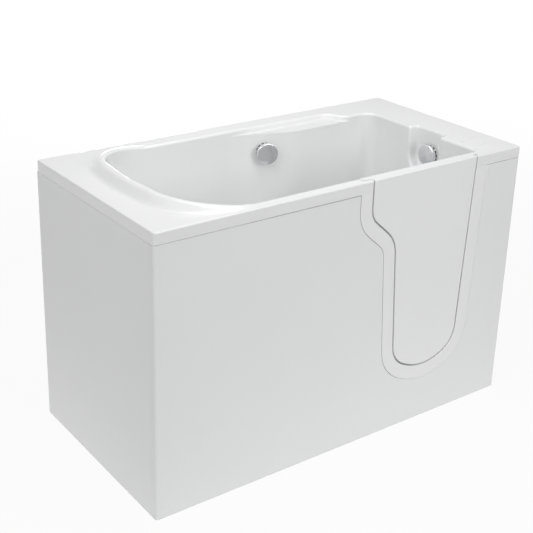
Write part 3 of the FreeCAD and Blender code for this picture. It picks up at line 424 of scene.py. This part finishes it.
# a new tree with its named inputs, and a modifier that runs one with its own values
def newTree(name, **inputs):
    tree = bpy.data.node_groups.new(name, "GeometryNodeTree")
    tree.interface.new_socket("Geometry", in_out="INPUT", socket_type="NodeSocketGeometry")
    for label, kind in inputs.items():
        tree.interface.new_socket(label, in_out="INPUT", socket_type="NodeSocket" + kind)
    tree.interface.new_socket("Geometry", in_out="OUTPUT", socket_type="NodeSocketGeometry")
    return tree, addNode(tree, "NodeGroupInput"), addNode(tree, "NodeGroupOutput")


def useTree(thing, label, tree, values):
    modifier = thing.modifiers.new(label, "NODES")
    modifier.node_group = tree
    for item in tree.interface.items_tree:
        if item.item_type == "SOCKET" and item.in_out == "INPUT" and item.name in values:
            modifier[item.identifier] = values[item.name]


# every tree of a piece ends with real faces, shaded smooth, in its material
def finishTree(tree, source, result, shape):
    real = addNode(tree, "GeometryNodeRealizeInstances")
    smooth = addNode(tree, "GeometryNodeSetShadeSmooth")
    paint = addNode(tree, "GeometryNodeSetMaterial")
    wire(tree, real, Geometry=shape)
    wire(tree, smooth, Geometry=real.outputs["Geometry"])
    wire(tree, paint, Geometry=smooth.outputs["Geometry"], Material=source.outputs["Material"])
    wire(tree, result, Geometry=paint.outputs["Geometry"])


# random number between two values, drawn with the tree's own seed
def randomNumber(tree, source, least, most):
    node = addNode(tree, "FunctionNodeRandomValue", data_type="FLOAT")
    node.inputs[2].default_value, node.inputs[3].default_value = least, most
    wire(tree, node, Seed=source.outputs["Seed"])
    return node.outputs[1]


def addPiece(name, mesh):
    piece = bpy.data.objects.new(name, mesh)
    scene.collection.objects.link(piece)
    return piece


def finishedMesh(thing):
    return bpy.data.meshes.new_from_object(thing.evaluated_get(bpy.context.evaluated_depsgraph_get()))


# the result of a tree on a start mesh, as a plain piece
def grow(name, mesh, tree, values):
    start = addPiece(name + "Start", mesh)
    useTree(start, "build", tree, values)
    grown = finishedMesh(start)
    bpy.data.objects.remove(start)
    return addPiece(name, grown)


# smooth shading over the curves of the solids, with their own edges kept crisp
crease = {"angle": math.radians(32), "merge": 0.000005, "weight": 90}


def makeSmoothing():
    tree, source, result = newTree("creaseSmooth", Crease="Float")
    merge = addNode(tree, "GeometryNodeMergeByDistance")
    setInputs(merge, Distance=crease["merge"])
    faces = addNode(tree, "GeometryNodeSetShadeSmooth", domain="FACE")
    edges = addNode(tree, "GeometryNodeSetShadeSmooth", domain="EDGE")
    setInputs(edges, Shade_Smooth=False)
    fold = addNode(tree, "GeometryNodeInputMeshEdgeAngle")
    sharp = addNode(tree, "FunctionNodeCompare", data_type="FLOAT", operation="GREATER_THAN")
    wire(tree, merge, Geometry=source.outputs["Geometry"])
    wire(tree, faces, Geometry=merge.outputs["Geometry"])
    wire(tree, sharp, A=fold.outputs["Unsigned Angle"], B=source.outputs["Crease"])
    wire(tree, edges, Geometry=faces.outputs["Geometry"], Selection=sharp.outputs["Result"])
    wire(tree, result, Geometry=edges.outputs["Geometry"])
    return tree


smoothing = makeSmoothing()
for name, node in cadNodes.items():
    node.data.materials.clear()
    node.data.materials.append(own.get(name, finishes[slotOf[name]]))
    useTree(node, "crease", smoothing, {"Crease": crease["angle"]})
    weighted = node.modifiers.new("weighted", "WEIGHTED_NORMAL")
    weighted.keep_sharp = True
    weighted.weight = crease["weight"]
print("finishes assigned")

mergeGap = 0.00001  # vertices of a CAD node that lie closer than this are one


def mergedCopy(name):
    work = bmesh.new()
    work.from_mesh(cadNodes[name].data)
    bmesh.ops.remove_doubles(work, verts=work.verts, dist=mergeGap)
    return work


# separate solids of a CAD node, each as the places of its vertices
def islandsOf(name):
    work = mergedCopy(name)
    met, islands = set(), []
    for first in work.verts:
        if first in met:
            continue
        met.add(first)
        group, queue = [], [first]
        while queue:
            vert = queue.pop()
            group.append(vert.co.copy())
            for edge in vert.link_edges:
                other = edge.other_vert(vert)
                if other not in met:
                    met.add(other)
                    queue.append(other)
        islands.append(group)
    work.free()
    return islands


def boxOf(points):
    low = Vector([min(p[i] for p in points) for i in range(3)])
    high = Vector([max(p[i] for p in points) for i in range(3)])
    return low, high


def longestAxis(size):
    return max(range(3), key=lambda i: size[i])


# white edging on the sawn edges of the panels, along the rim and the door frame
edging = {"round": 0.0021, "over": 0.001, "proud": 0.0005, "steps": 12, "side": 0.004}
panelTrim = makePanel("panelTrim", False)


# free edge of a panel's outer face without its sides and foot, moved to the middle of the edging
def edgingLine(name, axis):
    work = mergedCopy(name)
    across = 1 - axis
    outer = min(v.co[axis] for v in work.verts)
    flat = {f for f in work.faces if all(abs(v.co[axis] - outer) < mergeGap for v in f.verts)}
    low, high = boxOf([v.co for f in flat for v in f.verts])
    left, right = low[across] + edging["side"], high[across] - edging["side"]
    lines, facings = [], {}
    for edge in work.edges:
        owners = [f for f in edge.link_faces if f in flat]
        a, b = (v.co for v in edge.verts)
        onSide = max(a[across], b[across]) < left or min(a[across], b[across]) > right
        if len(owners) != 1 or onSide or max(a.z, b.z) < low.z + edging["side"]:
            continue
        facing = Vector((0, 0, a[across] - b[across]))
        facing[across] = b.z - a.z
        facing.normalize()
        if facing.dot(owners[0].calc_center_median() - a) > 0:
            facing.negate()
        lines.append(tuple(edge.verts))
        for vert in edge.verts:
            facings.setdefault(vert, []).append(facing)
    order = {vert: i for i, vert in enumerate(facings)}
    points = []
    for vert, ways in facings.items():
        total = sum(ways, Vector())
        point = vert.co + total * (len(ways) / total.length_squared * edging["over"])
        point[axis] += edging["round"] - edging["proud"]
        points.append(tuple(point))
    mesh = bpy.data.meshes.new(name + "Line")
    mesh.from_pydata(points, [(order[a], order[b]) for a, b in lines], [])
    work.free()
    return mesh


def makeEdging():
    tree, source, result = newTree("runEdging", Round="Float", Steps="Int", Material="Material")
    curve = addNode(tree, "GeometryNodeMeshToCurve")
    profile = addNode(tree, "GeometryNodeCurvePrimitiveCircle")
    sweep = addNode(tree, "GeometryNodeCurveToMesh")
    setInputs(sweep, Fill_Caps=True)
    wire(tree, curve, Mesh=source.outputs["Geometry"])
    wire(tree, profile, Radius=source.outputs["Round"], Resolution=source.outputs["Steps"])
    wire(tree, sweep, Curve=curve.outputs["Curve"], Profile_Curve=profile.outputs["Curve"])
    finishTree(tree, source, result, sweep.outputs["Mesh"])
    return tree


runEdging = makeEdging()
for name, node, axis in (("frontPanelEdging", "front_panel", 1), ("leftPanelEdging", "left_panel", 0)):
    strip = grow(name, edgingLine(node, axis), runEdging, {
        "Round": edging["round"], "Steps": edging["steps"], "Material": panelTrim,
    })
    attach(strip, "tub")
    print(name, "laid:", len(strip.data.polygons), "faces")

# thin cover strip on the joint of the two panels at the corner
cornerStrip = {"half": 0.0055, "joint": 0.001, "deep": 0.0008, "proud": 0.0003}
panelLow, panelHigh = (Vector(corner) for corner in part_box("left_panel"))
jointMiddle = panelLow.y - cornerStrip["joint"] / 2
near = Vector((panelLow.x - cornerStrip["proud"], jointMiddle - cornerStrip["half"], panelLow.z))
far = Vector((panelLow.x + cornerStrip["deep"], jointMiddle + cornerStrip["half"], panelHigh.z))
stripShape = bmesh.new()
stripPlace = Matrix.Translation((near + far) / 2) @ Matrix.Diagonal((*(far - near), 1.0))
bmesh.ops.create_cube(stripShape, size=1.0, matrix=stripPlace)
stripMesh = bpy.data.meshes.new("cornerJointStrip")
stripShape.to_mesh(stripMesh)
stripShape.free()
stripMesh.materials.append(panelTrim)
strip = addPiece("cornerJointStrip", stripMesh)
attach(strip, "tub")
print("corner joint covered")

# weld beads round the ends of the frame tubes: 0 is the lower end along a tube, 1 the upper
weld = {
    "bead": 0.0024, "step": 0.0021, "spread": (0.85, 1.15), "flat": 0.7, "seed": 7, "segments": 8, "rings": 5,
    "ends": {"corner_posts": (0,), "seat_legs": (0, 1), "cross_rails": (0, 1), "top_rails": (0, 1)},
}


def weldLines():
    points, lines = [], []
    for name, ends in weld["ends"].items():
        for group in islandsOf(name):
            box = boxOf(group)
            run = longestAxis(box[1] - box[0])
            a, b = [i for i in range(3) if i != run]
            for end in ends:
                first = len(points)
                for atA, atB in ((0, 0), (1, 0), (1, 1), (0, 1)):
                    corner = Vector((0, 0, 0))
                    corner[run], corner[a], corner[b] = box[end][run], box[atA][a], box[atB][b]
                    points.append(tuple(corner))
                lines += [(first + i, first + (i + 1) % 4) for i in range(4)]
    mesh = bpy.data.meshes.new("weldLines")
    mesh.from_pydata(points, lines, [])
    return mesh


def makeWelds():
    tree, source, result = newTree(
        "layBeads", Bead="Float", Step="Float", Flat="Float", Seed="Int", Material="Material",
    )
    curve = addNode(tree, "GeometryNodeMeshToCurve")
    spread = addNode(tree, "GeometryNodeCurveToPoints", mode="LENGTH")
    drop = addNode(tree, "GeometryNodeMeshUVSphere")
    setInputs(drop, Segments=weld["segments"], Rings=weld["rings"])
    size = randomNumber(tree, source, *weld["spread"])
    shape = addNode(tree, "ShaderNodeCombineXYZ")
    scatter = addNode(tree, "GeometryNodeInstanceOnPoints")
    wire(tree, curve, Mesh=source.outputs["Geometry"])
    wire(tree, spread, Curve=curve.outputs["Curve"], Length=source.outputs["Step"])
    wire(tree, drop, Radius=source.outputs["Bead"])
    wire(tree, shape, X=size, Y=size, Z=maths(tree, "MULTIPLY", size, source.outputs["Flat"]))
    wire(
        tree, scatter, Points=spread.outputs["Points"], Rotation=spread.outputs["Rotation"],
        Instance=drop.outputs["Mesh"], Scale=shape.outputs["Vector"],
    )
    finishTree(tree, source, result, scatter.outputs["Instances"])
    return tree


beads = grow("frameWelds", weldLines(), makeWelds(), {
    "Bead": weld["bead"], "Step": weld["step"], "Flat": weld["flat"], "Seed": weld["seed"],
    "Material": finishes["frame_steel"],
})
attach(beads, "tub")
print("frame welded:", len(beads.data.polygons), "faces")

# rolled thread on the foot studs between the pad and the locknut
thread = {"pitch": 0.00175, "depth": 0.0006, "steps": 20, "corners": 4}


def makeThread():
    tree, source, result = newTree(
        "rollThread", Radius="Float", Pitch="Float", Depth="Float", Length="Float", Steps="Int",
        Material="Material",
    )
    turns = maths(tree, "DIVIDE", source.outputs["Length"], source.outputs["Pitch"])
    spiral = addNode(tree, "GeometryNodeCurveSpiral")
    ridge = addNode(tree, "GeometryNodeCurvePrimitiveCircle")
    setInputs(ridge, Resolution=thread["corners"])
    sweep = addNode(tree, "GeometryNodeCurveToMesh")
    setInputs(sweep, Fill_Caps=True)
    scatter = addNode(tree, "GeometryNodeInstanceOnPoints")
    wire(
        tree, spiral, Resolution=source.outputs["Steps"], Rotations=turns, Height=source.outputs["Length"],
        Start_Radius=source.outputs["Radius"], End_Radius=source.outputs["Radius"],
    )
    wire(tree, ridge, Radius=source.outputs["Depth"])
    wire(tree, sweep, Curve=spiral.outputs["Curve"], Profile_Curve=ridge.outputs["Curve"])
    wire(tree, scatter, Points=source.outputs["Geometry"], Instance=sweep.outputs["Mesh"])
    finishTree(tree, source, result, scatter.outputs["Instances"])
    return tree


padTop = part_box("foot_pads")[1][2]
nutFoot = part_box("foot_locknuts")[0][2]
studBoxes = [boxOf(group) for group in islandsOf("foot_studs")]
studMesh = bpy.data.meshes.new("studPlaces")
studFeet = [((low.x + high.x) / 2, (low.y + high.y) / 2, padTop) for low, high in studBoxes]
studMesh.from_pydata(studFeet, [], [])
threads = grow("footThreads", studMesh, makeThread(), {
    "Radius": (studBoxes[0][1].x - studBoxes[0][0].x) / 2, "Pitch": thread["pitch"], "Depth": thread["depth"],
    "Length": nutFoot - padTop, "Steps": thread["steps"], "Material": finishes["zinc_steel"],
})
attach(threads, "tub")
print("studs threaded:", len(threads.data.polygons), "faces")

# pan-head screws with a cross recess, in place of the plain ones of the hinges and the keeper
panHead = {
    "sides": 28, "shank": 0.5, "seed": 11, "merge": 0.000002,
    "profile": ((0.0, 1.0), (0.45, 0.985), (0.72, 0.9), (0.9, 0.72), (0.98, 0.55), (1.0, 0.3), (1.0, 0.0)),
    "recess": 0.0011, "recessSpan": 0.0046, "recessDepth": 0.0013, "recessTaper": (0.45, 0.6),
    "rimShare": 0.9,  # points further out than this share of a plain head's radius are its rim
}
screwNodes = {
    "hinge_tub_screws": "hingeTubScrews", "hinge_door_screws": "hingeDoorScrews",
    "keeper_screws": "keeperScrews",
}


# seat, facing and sizes of each plain screw in a CAD node
def screwPlaces(name):
    places = []
    for group in islandsOf(name):
        low, high = boxOf(group)
        size = high - low
        middle = (low + high) / 2
        run = longestAxis(size)
        along = Vector([i == run for i in range(3)])
        radius = max(size[i] for i in range(3) if i != run) / 2
        least = radius * panHead["rimShare"]
        headRim = [p for p in group if (p - middle - (p - middle)[run] * along).length > least]
        outward = 1 if sum(p[run] for p in headRim) / len(headRim) > middle[run] else -1
        heights = [p[run] * outward for p in headRim]
        seat = middle.copy()
        seat[run] = outward * min(heights)
        places.append({
            "seat": seat, "facing": Vector([outward * (i == run) for i in range(3)]), "radius": radius,
            "head": max(heights) - min(heights), "length": size[run],
        })
    return places


def screwBody(name, radius, head, length):
    shank = radius * panHead["shank"]
    rows = [(radius * r, head * h) for r, h in panHead["profile"]]
    rows += [(shank, 0.0), (shank, head - length), (0.0, head - length)]
    work = bmesh.new()
    verts = [work.verts.new((r, 0, z)) for r, z in rows]
    edges = [work.edges.new(pair) for pair in zip(verts[:-1], verts[1:])]
    bmesh.ops.spin(
        work, geom=verts + edges, cent=(0, 0, 0), axis=(0, 0, 1), dvec=(0, 0, 0),
        angle=math.tau, steps=panHead["sides"],
    )
    bmesh.ops.remove_doubles(work, verts=work.verts, dist=panHead["merge"])
    bmesh.ops.recalc_face_normals(work, faces=work.faces)
    mesh = bpy.data.meshes.new(name + "Body")
    work.to_mesh(mesh)
    work.free()
    return mesh


# two crossed wedges that narrow downwards from the top of the head
def recessTool(name, head):
    work = bmesh.new()
    for quarter in (0, math.pi / 2):
        made = bmesh.ops.create_cube(work, size=1.0)["verts"]
        blade = (panHead["recessSpan"], panHead["recess"], 2 * panHead["recessDepth"])
        bmesh.ops.scale(work, vec=blade, verts=made)
        bmesh.ops.translate(work, vec=(0, 0, head), verts=made)
        for vert in made:
            if vert.co.z < head:
                vert.co.x *= panHead["recessTaper"][0]
                vert.co.y *= panHead["recessTaper"][1]
        bmesh.ops.rotate(work, cent=(0, 0, 0), matrix=Matrix.Rotation(quarter, 3, "Z"), verts=made)
    mesh = bpy.data.meshes.new(name + "Tool")
    work.to_mesh(mesh)
    work.free()
    return mesh


def makeScrew(name, radius, head, length):
    body = addPiece(name + "Body", screwBody(name, radius, head, length))
    tool = addPiece(name + "Tool", recessTool(name, head))
    cut = body.modifiers.new("recess", "BOOLEAN")
    cut.operation = "DIFFERENCE"
    cut.solver = "EXACT"
    cut.use_self = True
    cut.object = tool
    mesh = finishedMesh(body)
    bpy.data.objects.remove(body)
    bpy.data.objects.remove(tool)
    return addPiece(name + "One", mesh)


def makeScrewTree():
    tree, source, result = newTree("setScrews", Screw="Object", Seed="Int", Material="Material")
    facing = addNode(tree, "GeometryNodeInputNamedAttribute", data_type="FLOAT_VECTOR")
    setInputs(facing, Name="facing")
    upright = addNode(tree, "FunctionNodeAlignRotationToVector", axis="Z")
    spin = addNode(tree, "FunctionNodeAxisAngleToRotation")
    setInputs(spin, Axis=(0, 0, 1))
    both = addNode(tree, "FunctionNodeRotateRotation", rotation_space="LOCAL")
    screw = addNode(tree, "GeometryNodeObjectInfo")
    scatter = addNode(tree, "GeometryNodeInstanceOnPoints")
    wire(tree, upright, Vector=facing.outputs["Attribute"])
    wire(tree, spin, Angle=randomNumber(tree, source, 0.0, math.tau))
    wire(tree, both, Rotation=upright.outputs["Rotation"], Rotate_By=spin.outputs["Rotation"])
    wire(tree, screw, Object=source.outputs["Screw"])
    wire(
        tree, scatter, Points=source.outputs["Geometry"], Instance=screw.outputs["Geometry"],
        Rotation=both.outputs["Rotation"],
    )
    finishTree(tree, source, result, scatter.outputs["Instances"])
    return tree


screwTree = makeScrewTree()
for node, name in screwNodes.items():
    places = screwPlaces(node)
    one = places[0]
    pattern = makeScrew(name, one["radius"], one["head"], one["length"])
    spots = bpy.data.meshes.new(name + "Places")
    spots.from_pydata([tuple(p["seat"]) for p in places], [], [])
    direction = spots.attributes.new("facing", "FLOAT_VECTOR", "POINT")
    for item, p in zip(direction.data, places):
        item.vector = p["facing"]
    screws = grow(name, spots, screwTree, {
        "Screw": pattern, "Seed": panHead["seed"], "Material": finishes[slotOf[node]],
    })
    bpy.data.objects.remove(pattern)
    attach(screws, bodyOf[node])
    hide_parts(node)
    print(name, "set:", len(places))


# 1 for a ray from the camera, a mirror or glass, which sees the floor and sky as white
def lookingRay(tree):
    path = addNode(tree, "ShaderNodeLightPath")
    seen = maths(tree, "MAXIMUM", path.outputs["Is Camera Ray"], path.outputs["Is Glossy Ray"])
    return maths(tree, "MAXIMUM", seen, path.outputs["Is Transmission Ray"])


# plain floor that stays white to the camera, keeps the tub's shadow and lights the foot of the panels
ground = {
    "half": 30.0, "albedo": 0.8, "glow": 0.93, "clear": 1.6, "white": 4.0, "bounce": 0.6, "near": (0.9, 1.7),
}


def makeFloor():
    material, tree, shader = newMaterial("floorWhite")
    tree.nodes.remove(shader)
    diffuse = addNode(tree, "ShaderNodeBsdfDiffuse")
    setInputs(diffuse, Color=(ground["albedo"],) * 3 + (1,))
    glow = addNode(tree, "ShaderNodeEmission")
    setInputs(glow, Strength=1.0)
    coords = addNode(tree, "ShaderNodeTexCoord")
    away = vectorMaths(tree, "LENGTH", coords.outputs["Object"])
    fade = span(tree, away, ground["glow"], 1.0, ground["clear"], ground["white"])
    lift = span(tree, away, ground["bounce"], 0.0, *ground["near"])
    share = maths(tree, "MAXIMUM", maths(tree, "MULTIPLY", lookingRay(tree), fade), lift)
    blend = addNode(tree, "ShaderNodeMixShader")
    for target, socket in zip(blend.inputs, (share, diffuse.outputs["BSDF"], glow.outputs["Emission"])):
        tree.links.new(socket, target)
    wire(tree, tree.nodes["Material Output"], Surface=blend.outputs["Shader"])
    return material


half = ground["half"]
floorMesh = bpy.data.meshes.new("floorSheet")
floorCorners = [(-half, -half, 0), (half, -half, 0), (half, half, 0), (-half, half, 0)]
floorMesh.from_pydata(floorCorners, [], [(0, 1, 2, 3)])
floorMesh.materials.append(makeFloor())
floorSheet = addPiece("floorSheet", floorMesh)
print("floor laid")

# studio: a weak even sky with softboxes overhead, at the left, in front and behind
sky = {"light": 0.24, "seen": 1.0}
softboxes = {
    "overheadBox": {"at": (0.0, -0.1, 2.3), "aim": (0, 0, 0.6), "size": 1.2, "power": 11},
    "leftBox": {"at": (-3.0, -0.8, 3.0), "aim": (0, 0, 0.8), "size": 1.6, "power": 34},
    "frontBox": {"at": (0.6, -4.2, 2.6), "aim": (0, 0, 0.6), "size": 2.0, "power": 62},
    "rearBox": {"at": (1.4, 3.6, 0.5), "aim": (0.1, 0, 0.4), "size": 0.8, "power": 30},
}
world = bpy.data.worlds.new("studioSky")
scene.world = world
world.use_nodes = True
skyTree = world.node_tree
background = skyTree.nodes["Background"]
setInputs(background, Color=(1, 1, 1, 1))
wire(skyTree, background, Strength=span(skyTree, lookingRay(skyTree), sky["light"], sky["seen"]))
for name, box in softboxes.items():
    lamp = bpy.data.lights.new(name, "AREA")
    lamp.shape = "SQUARE"
    lamp.size = box["size"]
    lamp.energy = box["power"]
    softbox = addPiece(name, lamp)
    softbox.location = box["at"]
    softbox.rotation_euler = (Vector(box["aim"]) - Vector(box["at"])).to_track_quat("-Z", "Y").to_euler()
print("studio lit")

# camera fitted to the corners of the rim and panels, with focal length and middle in picture pixels
shot = {
    "at": (-2.0023, -2.5672, 1.9698), "azimuth": -35.41, "elevation": 21.47, "roll": 1.2,
    "focal": 1076.1, "middle": (240.0, 213.0), "picture": 533.0, "sensor": 36.0,
}
cameraData = bpy.data.cameras.new("photoCamera")
cameraData.sensor_width = shot["sensor"]
cameraData.lens = shot["focal"] / shot["picture"] * shot["sensor"]
cameraData.shift_x = (shot["picture"] / 2 - shot["middle"][0]) / shot["picture"]
cameraData.shift_y = (shot["middle"][1] - shot["picture"] / 2) / shot["picture"]
camera = addPiece("photoCamera", cameraData)
around, above = math.radians(shot["azimuth"]), math.radians(shot["elevation"])
back = Vector((math.sin(around) * math.cos(above), -math.cos(around) * math.cos(above), math.sin(above)))
level = (-back).to_track_quat("-Z", "Y").to_matrix().to_4x4()
roll = Matrix.Rotation(math.radians(shot["roll"]), 4, "Z")
camera.matrix_world = Matrix.Translation(shot["at"]) @ level @ roll
scene.camera = camera
scene.view_settings.view_transform = "Standard"
print("camera set")
